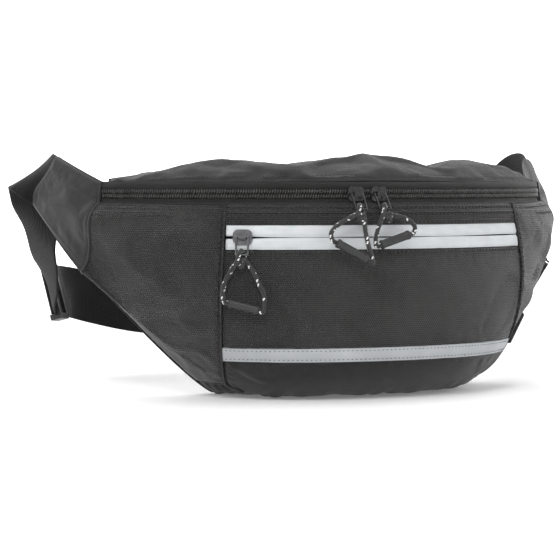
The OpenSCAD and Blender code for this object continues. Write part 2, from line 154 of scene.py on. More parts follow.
def back_y(x):
    return ARC_Y - 112 + 15 * (x / 170) ** 2


def low_edge(u):
    x = np.where(np.abs(u) < FLAT_U, 92 * np.abs(u) / FLAT_U, 92 + 88 * edge_s(u) ** 1.45) * np.sign(u)
    return np.stack(np.broadcast_arrays(x, back_y(x), edge_z(u)), -1)


def high_edge(u):
    x = 168 * u
    return np.stack(np.broadcast_arrays(x, back_y(x), BACK_TOP_Z - 10 * np.abs(u) ** 3), -1)


def back(u, v):
    p = mix(low_edge(u), high_edge(u), np.asarray(v)[..., None])
    p[..., 1] = back_y(p[..., 0])
    return p


def crest(u):
    return 12.5 * (1 - np.abs(u) ** 1.7) + 1.5 * np.cos(3 * np.pi * u) * (1 - u * u)


def top(u, w):
    p = mix(pol(199, END_DEG * u, TOP_Z), high_edge(u), np.asarray(w)[..., None])
    p[..., 2] += 0.9 * crest(u) * np.maximum(0, np.sin(np.pi * w ** 0.8)) ** 0.8
    return p


def under(u, w):
    return mix(low_edge(u), skin(u, 0 * u), np.asarray(w)[..., None])


def wing(s, t, side):
    z0 = mix(edge_z(1.0), 148, t)
    k = lim((z0 - edge_z(1.0)) / (SEAM_Z - edge_z(1.0)))
    a = skin(np.ones_like(k), k)
    r0 = np.hypot(a[..., 0], a[..., 1] - ARC_Y) - 2 * lim((z0 - SEAM_Z) / 15)
    r = mix(r0, 209.5 - 9 * t, 1 - (1 - lim(s)) ** 1.3)
    deg = end_angle(k) + 0.02 + (60 - 14 * t) * s / 200 * 53.3
    return pol(r, side * deg, z0 + s * (46 - 29 * t))


def front_radius(z):
    return SEAM_R + BELLY * np.sin(np.pi * z / SEAM_Z) ** 0.85


def on_arc(deg, points):
    """Points drawn at the front of the arc, x along the zip and -y outwards, turned to their place."""
    a = math.radians(deg)
    p = np.asarray(points, float)
    x, y = p[..., 0], p[..., 1]
    turned = [x * math.cos(a) - y * math.sin(a), ARC_Y + x * math.sin(a) + y * math.cos(a), p[..., 2]]
    return np.stack(turned, -1)


# ---- meshes ----
def add_mesh(name, points, faces, uv=None, body="bag", slot=None, stands_for=(), material=None):
    mesh = bpy.data.meshes.new(name)
    points = np.asarray(points, float)
    mesh.from_pydata((points * MM).tolist(), [], [list(map(int, f)) for f in faces])
    mesh.polygons.foreach_set("use_smooth", [True] * len(mesh.polygons))
    if uv is not None:
        layer = mesh.uv_layers.new(name="UVMap")
        corner = np.zeros(len(mesh.loops), int)
        mesh.loops.foreach_get("vertex_index", corner)
        layer.data.foreach_set("uv", np.asarray(uv, float)[corner].ravel())
    obj = bpy.data.objects.new(name, mesh)
    scene.collection.objects.link(obj)
    if body:
        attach(obj, body)
    if stands_for:
        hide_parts(*stands_for)
    if material:
        mesh.materials.append(material)
    return obj


def grid_normals(p):
    return unit(np.cross(np.gradient(p, axis=0), np.gradient(p, axis=1)))


def grid_faces(na, nb, start=0, flip=False):
    i, j = np.meshgrid(np.arange(na), np.arange(nb), indexing="ij")
    a = start + i * (nb + 1) + j
    quads = np.stack([a, a + 1, a + nb + 2, a + nb + 1], -1).reshape(-1, 4)
    return quads[:, ::-1] if flip else quads


def sheet_mesh(name, p, outer, inner, uv, **kw):
    """A closed sheet over the grid p: outer and inner are offsets along its normal, numbers or grids."""
    na, nb = p.shape[0] - 1, p.shape[1] - 1
    n = grid_normals(p)
    out = p + n * np.broadcast_to(outer, p.shape[:2])[..., None]
    inn = p + n * np.broadcast_to(inner, p.shape[:2])[..., None]
    count = (na + 1) * (nb + 1)
    k = np.arange(count).reshape(na + 1, nb + 1)
    rim = np.concatenate([k[:, 0], k[-1, 1:], k[-2::-1, -1], k[0, -2:0:-1]])
    nxt = np.roll(rim, -1)
    sides = np.stack([rim, nxt, nxt + count, rim + count], -1)
    faces = np.concatenate([grid_faces(na, nb, 0, True), grid_faces(na, nb, count), sides])
    flat = np.concatenate([uv.reshape(-1, 2)] * 2)
    points = np.concatenate([out.reshape(-1, 3), inn.reshape(-1, 3)])
    return add_mesh(name, points, faces[:, ::-1], flat, **kw)


def ab(na, nb):
    return np.meshgrid(np.linspace(0, 1, na + 1), np.linspace(0, 1, nb + 1), indexing="ij")


def arc_uv(p):
    """Millimetres round the arc and up."""
    deg = np.arctan2(p[..., 0], ARC_Y - p[..., 1])
    return np.stack([deg * 207, p[..., 2]], -1)


def flat_uv(p):
    return np.stack([p[..., 0], p[..., 1] + p[..., 2]], -1)


def run_uv(p):
    """Millimetres along both ways of the grid."""
    a = np.concatenate([[0], np.cumsum(np.linalg.norm(np.diff(p.mean(1), axis=0), axis=-1))])
    b = np.concatenate([[0], np.cumsum(np.linalg.norm(np.diff(p.mean(0), axis=0), axis=-1))])
    return np.stack(np.meshgrid(a, b, indexing="ij"), -1)


def edge_far(p):
    """Distance in millimetres of each grid point from the four edges: start and end of a, of b."""
    da = np.linalg.norm(np.diff(p, axis=0), axis=-1)
    db = np.linalg.norm(np.diff(p, axis=1), axis=-1)
    a0 = np.concatenate([np.zeros((1, p.shape[1])), np.cumsum(da, 0)])
    b0 = np.concatenate([np.zeros((p.shape[0], 1)), np.cumsum(db, 1)], 1)
    return a0, a0[-1] - a0, b0, b0[:, -1:] - b0


def seam_relief(p, edges="abcd", depth=0.9, width=2.2, pucker=0.3, pitch=7.0, seed=0):
    """Fabric turned in at its seams, with small puckers running away from the stitching."""
    far = dict(zip("abcd", edge_far(p)))
    along = {"a": far["c"], "b": far["c"], "c": far["a"], "d": far["a"]}
    relief = np.zeros(p.shape[:2])
    for k, e in enumerate(edges):
        d, s = far[e], along[e]
        relief -= depth * np.exp(-(d / width) ** 2)
        ripple = wave(s / pitch + k + seed + 0.23 * wave(s / 31 + k)) * (0.6 + 0.4 * wave(s / 53 + seed))
        relief += pucker * ripple * (d / 3) * np.exp(1 - d / 3) * np.exp(-(d / 9) ** 2)
    return relief


# ---- cloth: a grid held along its seams swells and buckles, then its shape is kept ----
def settle(p, hold, pressure, spare, cap, frames=14):
    """Runs cloth on the grid p, hold 1 where it is sewn, with spare extra cloth as a share. New points."""
    na, nb = p.shape[0] - 1, p.shape[1] - 1
    mesh = bpy.data.meshes.new("cloth")
    mesh.from_pydata((p.reshape(-1, 3) * MM).tolist(), [], grid_faces(na, nb).tolist())
    obj = bpy.data.objects.new("cloth", mesh)
    scene.collection.objects.link(obj)
    group = obj.vertex_groups.new(name="seam")
    for k, w in enumerate(hold.reshape(-1)):
        if w > 0.01:
            group.add([k], float(w), "REPLACE")
    cloth = obj.modifiers.new("cloth", "CLOTH")
    s = cloth.settings
    s.quality, s.mass = 8, 0.15
    s.tension_stiffness, s.compression_stiffness, s.shear_stiffness = 40, 40, 12
    s.bending_stiffness = 1.5
    s.vertex_group_mass = "seam"
    s.shrink_min = -spare
    s.use_pressure, s.uniform_pressure_force = True, pressure
    s.effector_weights.gravity = 0
    cloth.point_cache.frame_start, cloth.point_cache.frame_end = 1, frames
    for f in range(1, frames + 1):
        scene.frame_set(f)
    held = obj.evaluated_get(bpy.context.evaluated_depsgraph_get())
    moved = np.zeros(len(mesh.vertices) * 3, np.float32)
    held.data.vertices.foreach_get("co", moved)
    moved = moved.reshape(p.shape).astype(float) / MM
    bpy.data.objects.remove(obj)
    scene.frame_set(1)
    shift = np.nan_to_num(moved - p)
    for _ in range(2):
        inner = (shift[:-2, 1:-1] + shift[2:, 1:-1] + shift[1:-1, :-2] + shift[1:-1, 2:]) / 4
        shift[1:-1, 1:-1] = 0.5 * shift[1:-1, 1:-1] + 0.5 * inner
    far = np.linalg.norm(shift, axis=-1, keepdims=True)
    return p + shift * np.minimum(1, cap / np.maximum(far, 1e-9))


def sewn(p, edges="abcd", width=2.5):
    far = dict(zip("abcd", edge_far(p)))
    return np.max([np.exp(-(far[e] / width) ** 2) for e in edges], axis=0)


# ---- materials ----
def nodes_of(name):
    m = bpy.data.materials.new(name)
    m.use_nodes = True
    t = m.node_tree
    return m, t, t.nodes["Principled BSDF"]


def math_node(t, kind, a, b=None, clamp=False):
    n = t.nodes.new("ShaderNodeMath")
    n.operation, n.use_clamp = kind, clamp
    for k, v in enumerate((a, b)):
        if v is None:
            continue
        if isinstance(v, (int, float)):
            n.inputs[k].default_value = v
        else:
            t.links.new(v, n.inputs[k])
    return n.outputs[0]


def times(t, a, b):
    return math_node(t, "MULTIPLY", a, b)


def plus(t, a, b):
    return math_node(t, "ADD", a, b)


def uv_mm(t):
    """The piece's own millimetre coordinates, along and across."""
    uv = t.nodes.new("ShaderNodeUVMap")
    uv.uv_map = "UVMap"
    split = t.nodes.new("ShaderNodeSeparateXYZ")
    t.links.new(uv.outputs[0], split.inputs[0])
    return split.outputs[0], split.outputs[1]


def place_mm(t):
    n = t.nodes.new("ShaderNodeTexCoord")
    s = t.nodes.new("ShaderNodeVectorMath")
    s.operation = "SCALE"
    s.inputs["Scale"].default_value = 1000
    t.links.new(n.outputs["Object"], s.inputs[0])
    return s.outputs[0]


def noise(t, scale, detail=3.0, vector=None):
    n = t.nodes.new("ShaderNodeTexNoise")
    n.inputs["Scale"].default_value = scale
    n.inputs["Detail"].default_value = detail
    t.links.new(vector or place_mm(t), n.inputs["Vector"])
    return n.outputs["Fac"]


def ramp(t, fac, low, high, a=0.3, b=0.7):
    n = t.nodes.new("ShaderNodeValToRGB")
    n.color_ramp.elements[0].position, n.color_ramp.elements[1].position = a, b
    n.color_ramp.elements[0].color = (*low, 1)
    n.color_ramp.elements[1].color = (*high, 1)
    t.links.new(fac, n.inputs[0])
    return n.outputs[0]


def bump(t, bsdf, height, distance, strength=1.0, onto=None):
    n = t.nodes.new("ShaderNodeBump")
    n.inputs["Distance"].default_value = distance
    n.inputs["Strength"].default_value = strength
    t.links.new(height, n.inputs["Height"])
    if onto:
        t.links.new(onto, n.inputs["Normal"])
    t.links.new(n.outputs[0], bsdf.inputs["Normal"])
    return n.outputs[0]


def humps(t, x, pitch, shift=None):
    """Rounded ridges across x, 0 to 1, once every pitch."""
    x = times(t, x, math.pi / pitch)
    if shift is not None:
        x = plus(t, x, shift)
    return math_node(t, "ABSOLUTE", math_node(t, "SINE", x))


def grey(v, warm=0.0):
    return (v * (1 + warm), v, v * (1 - warm))


def woven(name, low, high, pitch_x, pitch_y, depth, rough, sheen, spec=0.5, warm=0.01):
    """Coarse plain weave: staggered yarn crowns in rows, with a painted highlight on the crowns and painted shade
    between them.
    """
    m, t, b = nodes_of(name)
    x, y = uv_mm(t)
    row = math_node(t, "FLOOR", math_node(t, "DIVIDE", y, pitch_y))
    stagger = times(t, row, math.pi / 2)
    crown = times(t, humps(t, x, pitch_x, stagger), humps(t, y, pitch_y))
    grain = noise(t, 2.2, 2.0)
    height = plus(t, crown, times(t, grain, 0.35))
    # Base colour: painted highlight on the yarn crowns and painted shade in the hollows between them, plus random
    # tone from the large noise.
    tone = plus(t, times(t, crown, 0.65), times(t, noise(t, 0.03), 0.5))
    t.links.new(ramp(t, tone, grey(low, warm), grey(high, warm), 0.1, 0.95), b.inputs["Base Color"])
    t.links.new(plus(t, times(t, grain, 0.2), rough - 0.1), b.inputs["Roughness"])
    b.inputs["Sheen Weight"].default_value = sheen
    b.inputs["Sheen Roughness"].default_value = 0.5
    b.inputs["Specular IOR Level"].default_value = spec
    bump(t, b, height, depth)
    return m


def coated(name, low, high, rough, spec=0.5):
    """Smooth coated fabric: faint fine weave under a matt skin."""
    m, t, b = nodes_of(name)
    x, y = uv_mm(t)
    weave = times(t, humps(t, x, 0.45), humps(t, y, 0.45))
    mottle = noise(t, 0.12, 4.0)
    t.links.new(ramp(t, mottle, grey(low, 0.01), grey(high, 0.01), 0.3, 0.75), b.inputs["Base Color"])
    t.links.new(plus(t, times(t, noise(t, 0.9), 0.16), rough - 0.08), b.inputs["Roughness"])
    b.inputs["Sheen Weight"].default_value = 0.15
    b.inputs["Specular IOR Level"].default_value = spec
    height = plus(t, times(t, weave, 0.4), noise(t, 0.5, 5.0))
    bump(t, b, height, 0.00012)
    return m


def webbing(name, low, high, pitch=1.5):
    """Ribbed webbing: ribs along its length crossed by fine weft picks, with painted shade in the hollows between
    them.
    """
    m, t, b = nodes_of(name)
    x, y = uv_mm(t)
    rib = humps(t, y, pitch)
    row = math_node(t, "FLOOR", math_node(t, "DIVIDE", y, pitch))
    pick = humps(t, x, 0.9, times(t, row, math.pi / 2))
    weave = times(t, rib, plus(t, times(t, pick, 0.5), 0.5))
    # Base colour: painted shade in the hollows between the ribs and picks, and a painted highlight on their crowns.
    t.links.new(ramp(t, weave, grey(low), grey(high), 0.2, 1.0), b.inputs["Base Color"])
    b.inputs["Roughness"].default_value = 0.75
    b.inputs["Sheen Weight"].default_value = 0.12
    b.inputs["Specular IOR Level"].default_value = 0.15
    bump(t, b, plus(t, weave, times(t, noise(t, 3.0), 0.3)), 0.0003)
    return m


def mesh_cloth(name, low, high):
    """Spacer mesh: small round holes in staggered rows, the holes painted dark as painted shade."""
    m, t, b = nodes_of(name)
    x, y = uv_mm(t)
    row = math_node(t, "FLOOR", math_node(t, "DIVIDE", y, 2.1))
    hole = times(t, humps(t, x, 2.4, times(t, row, math.pi / 2)), humps(t, y, 2.1))
    open_ = math_node(t, "GREATER_THAN", hole, 0.62)
    # Base colour: the holes are painted dark, painted shade inside them.
    web = math_node(t, "SUBTRACT", 1.0, times(t, open_, 0.9))
    t.links.new(ramp(t, web, grey(low), grey(high), 0.2, 0.9), b.inputs["Base Color"])
    b.inputs["Roughness"].default_value = 0.85
    b.inputs["Sheen Weight"].default_value = 0.3
    bump(t, b, plus(t, web, times(t, noise(t, 2.5), 0.25)), 0.0006)
    return m


def reflective(name, low, high, rough, pitch=1.1):
    """Glass-bead reflective film: fine grid, silvery and slightly sparkling."""
    m, t, b = nodes_of(name)
    x, y = uv_mm(t)
    grid = times(t, humps(t, x, pitch), humps(t, y, pitch))
    tone = plus(t, times(t, grid, 0.25), times(t, noise(t, 0.08, 3.0), 0.75))
    t.links.new(ramp(t, tone, low, high, 0.2, 0.8), b.inputs["Base Color"])
    t.links.new(plus(t, times(t, noise(t, 1.5), 0.2), rough - 0.1), b.inputs["Roughness"])
    b.inputs["Metallic"].default_value = 0.25
    bump(t, b, plus(t, grid, noise(t, 4.0)), 0.00005)
    return m


def moulded(name, low, high, rough, metal=0.0, coat=0.0, depth=0.00004, scale=1.2):
    """Moulded plastic, rubber or lacquered metal, with a little grain and rubbed patches."""
    m, t, b = nodes_of(name)
    patch = noise(t, 0.15, 4.0)
    t.links.new(ramp(t, patch, low, high), b.inputs["Base Color"])
    t.links.new(plus(t, times(t, noise(t, 0.6, 4.0), 0.25), rough - 0.12), b.inputs["Roughness"])
    b.inputs["Metallic"].default_value = metal
    b.inputs["Coat Weight"].default_value = coat
    bump(t, b, noise(t, scale, 5.0), depth)
    return m


def thread_look(name, low, high):
    m, t, b = nodes_of(name)
    twist = noise(t, 4.0, 2.0)
    t.links.new(ramp(t, twist, grey(low), grey(high)), b.inputs["Base Color"])
    b.inputs["Roughness"].default_value = 0.7
    b.inputs["Sheen Weight"].default_value = 0.2
    bump(t, b, twist, 0.0001)
    return m


MAT = {
    "body_fabric": woven("body_fabric", 0.004, 0.058, 1.6, 1.35, 0.0014, 0.42, 0.04, 0.38),
    "top_fabric": woven("top_fabric", 0.007, 0.030, 1.3, 1.2, 0.0004, 0.56, 0.06, 0.2),
    "coated": coated("coated_fabric", 0.017, 0.027, 0.5, 0.2),
    # The base panel's fabric is a darker copy of the coated fabric: painted shade on the underside.
    "base_coated_painted_shade": coated("base_fabric_painted_shade", 0.010, 0.018, 0.5, 0.16),
    "tape": woven("zip_tape", 0.008, 0.024, 0.8, 0.6, 0.00015, 0.75, 0.12, 0.15),
    "lining": woven("lining_fabric", 0.09, 0.13, 0.5, 0.5, 0.00008, 0.7, 0.1, 0.3),
    "webbing": webbing("webbing", 0.0015, 0.006),
    "mesh": mesh_cloth("mesh_fabric", 0.003, 0.018),
    "white_band": reflective("reflective_white", (0.43, 0.45, 0.46), (0.55, 0.57, 0.58), 0.5),
    "grey_strip": reflective("reflective_grey", (0.33, 0.345, 0.36), (0.43, 0.445, 0.46), 0.45, 0.9),
    "coil": moulded("coil_plastic", (0.02, 0.019, 0.018), (0.045, 0.043, 0.04), 0.28),
    "plastic": moulded("buckle_plastic", (0.010, 0.010, 0.011), (0.022, 0.022, 0.023), 0.42),
    "rubber": moulded("grip_rubber", (0.012, 0.012, 0.012), (0.024, 0.024, 0.025), 0.5, depth=0.00008),
    "black_metal": moulded("black_lacquer", (0.006, 0.006, 0.006), (0.016, 0.016, 0.016), 0.3, 0.3, 0.4),
    "gunmetal": moulded("gunmetal", (0.05, 0.05, 0.052), (0.13, 0.13, 0.135), 0.34, 0.85, 0.2),
    "cord": thread_look("cord_sheath", 0.006, 0.018),
    "fleck": thread_look("cord_fleck", 0.62, 0.8),
    "thread": thread_look("thread_black", 0.004, 0.012),
    "grey_thread": thread_look("thread_grey", 0.05, 0.10),
}


# ---- lines swept along a path ----
def catmull(p, n):
    p = np.asarray(p, float)
    out = []
    m = len(p)
    for i in range(m - 1):
        a, b, c, d = p[max(0, i - 1)], p[i], p[i + 1], p[min(m - 1, i + 2)]
        for j in range(n):
            k = j / n
            out.append(0.5 * (2 * b + (c - a) * k + (2 * a - 5 * b + 4 * c - d) * k * k
                              + (3 * b - a - 3 * c + d) * k ** 3))
    return np.array(out + [p[-1]])


def line_dirs(p):
    return unit(np.concatenate([p[1:2] - p[:1], p[2:] - p[:-2], p[-1:] - p[-2:-1]]))


def carried(t, n0):
    v = [unit(np.asarray(n0) - t[0] * np.dot(t[0], n0))]
    for d in t[1:]:
        v.append(unit(v[-1] - d * np.dot(v[-1], d)))
    return np.array(v)


def even(p, step):
    """The same line with its points an even step apart."""
    far = np.concatenate([[0], np.cumsum(np.linalg.norm(np.diff(p, axis=0), axis=1))])
    at = np.linspace(0, far[-1], max(3, int(round(far[-1] / step)) + 1))
    return np.stack([np.interp(at, far, p[:, k]) for k in range(3)], -1)


def swept_faces(rings, sides):
    i, j = np.meshgrid(np.arange(rings - 1), np.arange(sides), indexing="ij")
    a, b = i * sides + j, i * sides + (j + 1) % sides
    quads = np.stack([a, b, b + sides, a + sides], -1).reshape(-1, 4).tolist()
    return quads + [list(range(sides))[::-1], [(rings - 1) * sides + k for k in range(sides)]]


def tube_points(p, radius, sides, n0=(0, 1, 0), flat=1.0):
    t = line_dirs(p)
    v = carried(t, n0)
    w = np.cross(t, v)
    a = np.linspace(0, 2 * np.pi, sides, endpoint=False)
    r = np.broadcast_to(radius, (len(p), sides))[..., None]
    return p[:, None] + r * (v[:, None] * np.cos(a)[:, None] * flat + w[:, None] * np.sin(a)[:, None])


def tube(name, p, radius, sides=10, n0=(0, 1, 0), flat=1.0, **kw):
    rings = tube_points(p, radius, sides, n0, flat)
    far = np.concatenate([[0], np.cumsum(np.linalg.norm(np.diff(p, axis=0), axis=1))])
    round_it = np.linspace(0, 2 * np.pi * np.max(radius), sides, endpoint=False)
    uv = np.stack(np.meshgrid(far, round_it, indexing="ij"), -1).reshape(-1, 2)
    return add_mesh(name, rings.reshape(-1, 3), swept_faces(len(p), sides), uv, **kw)


def stitches(name, rows, normals_at, pitch=3.0, length=2.1, radius=0.22, material="thread", body="bag",
             slot="body_fabric"):
    """Lock stitches along rows of points: each a short thread that dips into the fabric at both ends."""
    points, faces = [], []
    for row, up in zip(rows, normals_at):
        row = np.asarray(row, float)
        far = np.concatenate([[0], np.cumsum(np.linalg.norm(np.diff(row, axis=0), axis=1))])
        count = int(far[-1] / pitch)
        for k in range(count):
            at = (k + 0.5) * pitch + np.array([-0.5, -0.3, 0, 0.3, 0.5]) * length
            c = np.stack([np.interp(at, far, row[:, i]) for i in range(3)], -1)
            n = np.stack([np.interp(at, far, up[:, i]) for i in range(3)], -1)
            c = c + n * (np.array([-0.5, 0.35, 0.6, 0.35, -0.5]) * radius)[:, None]
            ring = tube_points(c, np.array([[0.5], [1], [1.05], [1], [0.5]]) * radius, 6, n[2])
            start = sum(map(len, points))
            points.append(ring.reshape(-1, 3))
            faces += [[start + i for i in f] for f in swept_faces(5, 6)]
    return add_mesh(name, np.concatenate(points), faces, body=body, slot=slot, material=MAT[material])


# ---- cords first: each is one loop from its grip, round the bail and back; [along, radius, height] ----
LEFT_GRIP = np.array([(-19.5, 221.8, 108), (1.5, 222.9, 96.5)])
RIGHT_GRIP = np.array([(-5.5, 218.4, 106), (16, 218.4, 113)])
POCKET_GRIP = np.array([(-8.5, 217, 68), (11.5, 217, 63)])


def into(g, end, d):
    v = unit(g[1] - g[0])
    return g[0] + v * d if end == 0 else g[1] - v * d


def between(g, outside, middle):
    """The whole route: out of the grip's first end, through the middle points and into its second end."""
    head = [into(g, 0, 4), into(g, 0, 0), into(g, 0, -3)]
    tail = [into(g, 1, -outside), into(g, 1, 0), into(g, 1, 4)]
    return np.array(head + [np.array(m, float) for m in middle] + tail)


LEFT_PATH = between(LEFT_GRIP, 4, [
    (-22.6, 220, 114.5), (-17, 218, 120), (-9, 217.4, 124.4), (-3.6, 217.3, 127.4), (-2, 215.9, 132),
    (-0.4, 212.4, 132.4), (1, 212.5, 128.4), (1.6, 215.3, 124), (1.2, 218, 117), (2, 221.4, 107.5)])
RIGHT_PATH = between(RIGHT_GRIP, 3, [
    (-9, 218.4, 109.6), (-7.4, 217.8, 115.6), (-5, 217.2, 121.5), (-2.8, 217.3, 127), (-1.6, 215.9, 132),
    (0, 212.4, 132.4), (1.6, 212.5, 128.4), (5.4, 215, 125.8), (10.5, 216.6, 124.6), (15.6, 217.6, 122.4),
    (19.8, 218.4, 118.2)])
POCKET_PATH = between(POCKET_GRIP, 3, [
    (-12.4, 216.4, 74.5), (-11, 216, 82), (-6.6, 216.2, 90), (-3, 217, 95.4), (-1.6, 217.2, 100),
    (-0.4, 215.4, 102.6), (0.8, 212.4, 100.8), (2.6, 213.5, 96), (7.4, 215.4, 89), (11.4, 216, 81),
    (14.8, 216.4, 73)])


def laid(p, deg):
    return on_arc(deg, np.stack([p[:, 0], -np.sqrt(p[:, 1] ** 2 - p[:, 0] ** 2), p[:, 2]], -1))


def make_cord(side, path, deg, body):
    """A braided cord with bright flecks woven into it."""
    line = even(laid(catmull(path, 10), deg), 0.4)
    sides = 16
    far = np.arange(len(line)) * 0.4
    angle = np.linspace(0, 2 * np.pi, sides, endpoint=False)
    s, a = np.meshgrid(far, angle, indexing="ij")
    braid = np.cos(4 * a + s * 1.9) * np.cos(4 * a - s * 1.9)
    obj = tube("cord_" + side, line, CORD_D / 2 * (0.95 + 0.06 * braid), sides, material=MAT["cord"],
               body=body, slot="cord", stands_for=["cord_" + side])
    obj.data.materials.append(MAT["fleck"])
    for k in range(int(far[-1] / 2.6)):
        start, turn = int((1.4 + 2.6 * k) / 0.4), (k * 7 + 3 * (k % 3)) % sides
        for i in range(start, min(start + 4, len(line) - 1)):
            for j in (0, 1):
                face = obj.data.polygons[i * sides + (turn + j + (i - start) // 2) % sides]
                face.material_index = 1


def make_grip(side, ends, deg, body):
    """A moulded grip: a flattened barrel with rims, a long groove and open ends for the cord."""
    e = laid(ends, deg)
    line = even(e, 0.5)
    k = np.linspace(-1, 1, len(line)) * GRIP_L / 2
    rim = smooth(9.6, 10.4, np.abs(k)) * 0.3
    end = np.maximum(0, np.abs(k) - 11.6) / 0.9
    profile = 2.8 + rim - 0.9 * (1 - np.sqrt(np.maximum(0, 1 - end ** 2)))
    sides = 40
    angle = np.linspace(0, 2 * np.pi, sides, endpoint=False)
    groove = np.exp(-((np.abs(((angle + np.pi) % (2 * np.pi)) - np.pi)) / 0.28) ** 2)
    body_part = 1 - smooth(8.6, 9.6, np.abs(k))
    r = profile[:, None] * (1 - 0.13 * groove[None] * body_part[:, None])
    r = r * (1 - 0.08 * np.abs(np.cos(angle))[None] ** 2)
    line = np.concatenate([line[:1], line, line[-1:]])
    hole = np.full((1, sides), CORD_D / 2 + 0.05)
    r = np.concatenate([hole, r, hole])
    outward = pol(1, deg, 0) - pol(0, deg, 0)
    return tube("grip_" + side, line, r, sides, n0=outward, material=MAT["rubber"], body=body, slot="grip",
                stands_for=["grip_" + side])


def make_knot(side, centre, turn, deg, body):
    """The small knot in which both runs of a cord are tied together under its wire loop."""
    k = np.linspace(0, 2 * np.pi, 97) + turn
    across, up, out = np.sin(k) + 2 * np.sin(2 * k), np.cos(k) - 2 * np.cos(2 * k), -np.sin(3 * k)
    p = np.array(centre) + np.stack([across * 0.8, out * 1.1, up * 0.9], -1)
    line = laid(p, deg)
    obj = tube("knot_" + side, line, CORD_D / 2 * 0.92, 12, material=MAT["cord"], body=body, slot="cord")
    obj.data.materials.append(MAT["fleck"])
    for i in range(5, 92, 14):
        for j in (0, 1, 12):
            obj.data.polygons[i * 12 + (3 * i + j) % 24].material_index = 1


for side, path, ends, deg, body, knot, turn in (
    ("left", LEFT_PATH, LEFT_GRIP, LEFT_DEG, "puller_l", (-1.0, 215.8, 124.5), 0.4),
    ("right", RIGHT_PATH, RIGHT_GRIP, RIGHT_DEG, "puller_r", (1.0, 215.8, 125.0), 2.0),
    ("pocket", POCKET_PATH, POCKET_GRIP, PULL_DEG, "puller_p", (-0.4, 215.4, 94.6), 1.1),
):
    grip = make_grip(side, ends, deg, body)
    make_cord(side, path, deg, body)
    make_knot(side, knot, turn, deg, body)


# ---- fabric panels ----
PANELS = {}


def panel(name, f, na, nb, uv, edges="abcd", pressure=0.0, spare=0.0, cap=1.5, outer=FABRIC, extra=None,
          pucker=0.3, depth=0.9, material="body_fabric", slot="body_fabric", flat=None, seed=0, **kw):
    """One sewn panel: settled as cloth between its seams, given its seam dips, and built as a closed sheet."""
    a, b = ab(na, nb)
    p = f(a, b)
    if spare or pressure:
        p = settle(p, sewn(p), pressure, spare, cap)
    relief = seam_relief(p, edges, depth=depth, pucker=pucker, seed=seed)
    if extra is not None:
        relief = relief + extra(p, a, b)
    kw.setdefault("stands_for", [name])
    obj = sheet_mesh(name, p, outer + relief, relief * 0.6, uv(p), material=MAT[material], slot=slot, **kw)
    PANELS[name] = p
    cells = np.cross(p[1:, :-1] - p[:-1, :-1], p[:-1, 1:] - p[:-1, :-1])
    area = float(np.linalg.norm(cells, axis=-1).sum()) * 1e-6
    width = float(np.linalg.norm(np.diff(p, axis=0), axis=-1).sum(0).max()) * MM
    height = float(np.linalg.norm(np.diff(p, axis=1), axis=-1).sum(1).max()) * MM
    area = min(area, 0.995 * width * height)
    return obj


def front(z0, z1):
    return lambda a, b: skin_at(mix(-POCKET_U, POCKET_U, a), mix(z0, z1, b))


def bottom(a, b):
    u = mix(-POCKET_U, POCKET_U, a)
    up = (STRIP_Z - 0.2 - edge_z(u)) / (SEAM_Z - edge_z(u)) * lim((b - 0.4) / 0.6) ** 1.7
    return np.where((b < 0.4)[..., None], under(u, lim(b / 0.4)), skin(u, up))


def side(sign):
    if sign > 0:
        return lambda a, b: skin(mix(POCKET_U + GAP_U, 0.999, a), b ** 1.5)
    return lambda a, b: skin(mix(-0.999, -POCKET_U - GAP_U, a), b ** 1.5)


def gusset(sign):
    if sign > 0:
        return lambda a, b: under(mix(POCKET_U + GAP_U, 0.995, a), mix(0.01, 0.99, b))
    return lambda a, b: under(mix(-0.995, -POCKET_U - GAP_U, a), mix(0.01, 0.99, b))


def slack_front(p, a, b):
    """Long soft hollows in the pocket front, deepest towards its lower corners."""
    return 0.5 * wave(p[..., 0] / 150 + p[..., 2] / 90) * np.sin(np.pi * a) * np.sin(np.pi * b)


def tape_folds(p, a, b):
    """The folded seam allowances behind the stitched rows under the main zip."""
    z = p[..., 2]
    fold = smooth(123.0, 124.0, z) * 0.7
    rows = sum(np.exp(-((z - row) / 0.8) ** 2) for row in (130.2, 125.8))
    return fold - 0.75 * rows + 0.12 * wave(p[..., 0] / 23) * np.sin(np.pi * b)


def base_creases(p, a, b):
    """Crumples where the coated base panel turns under."""
    turn = np.exp(-((b - 0.42) / 0.16) ** 2)
    x = p[..., 0]
    soft = wave(x / 34 + 0.6 * wave(x / 71)) * 0.55 + wave(x / 17 + b * 0.9) * 0.25
    right = np.exp(-((x - 78) / 22) ** 2) * wave(x / 13 - b * 2.2) * 1.0
    left = np.exp(-((x + 74) / 26) ** 2) * wave(x / 19 + b * 1.5) * 0.6
    return turn * (soft + right + left) * 0.9 + 0.15 * wave(x / 47 + b)


def side_slack(p, a, b):
    x, z = np.abs(p[..., 0]), p[..., 2]
    inside = np.sin(np.pi * a) ** 0.6 * np.sin(np.pi * b) ** 0.6
    long = wave((x * 0.75 + z) / 52 + 0.15 * wave(z / 60)) * 0.7 + wave((x * 0.4 + z) / 23) * 0.25
    folded = smooth(122.5, 123.5, z) * 0.6
    rows = sum(np.exp(-((z - row) / 0.8) ** 2) for row in (129.6, 125.2))
    return long * inside + folded - 0.75 * rows


def top_folds(p, a, b):
    """Soft folds running back from the zip, and a long hollow behind it."""
    x = p[..., 0]
    run = np.sin(np.pi * b) * (1 - np.abs(2 * a - 1) ** 3)
    folds = wave(x / 61 - b * 0.5 + 0.15) * 0.7 + wave(x / 33 + b * 0.7) * 0.3 + wave(x / 19 - b * 1.1) * 0.12
    return run * folds - 0.5 * np.exp(-((b - 0.12) / 0.07) ** 2)


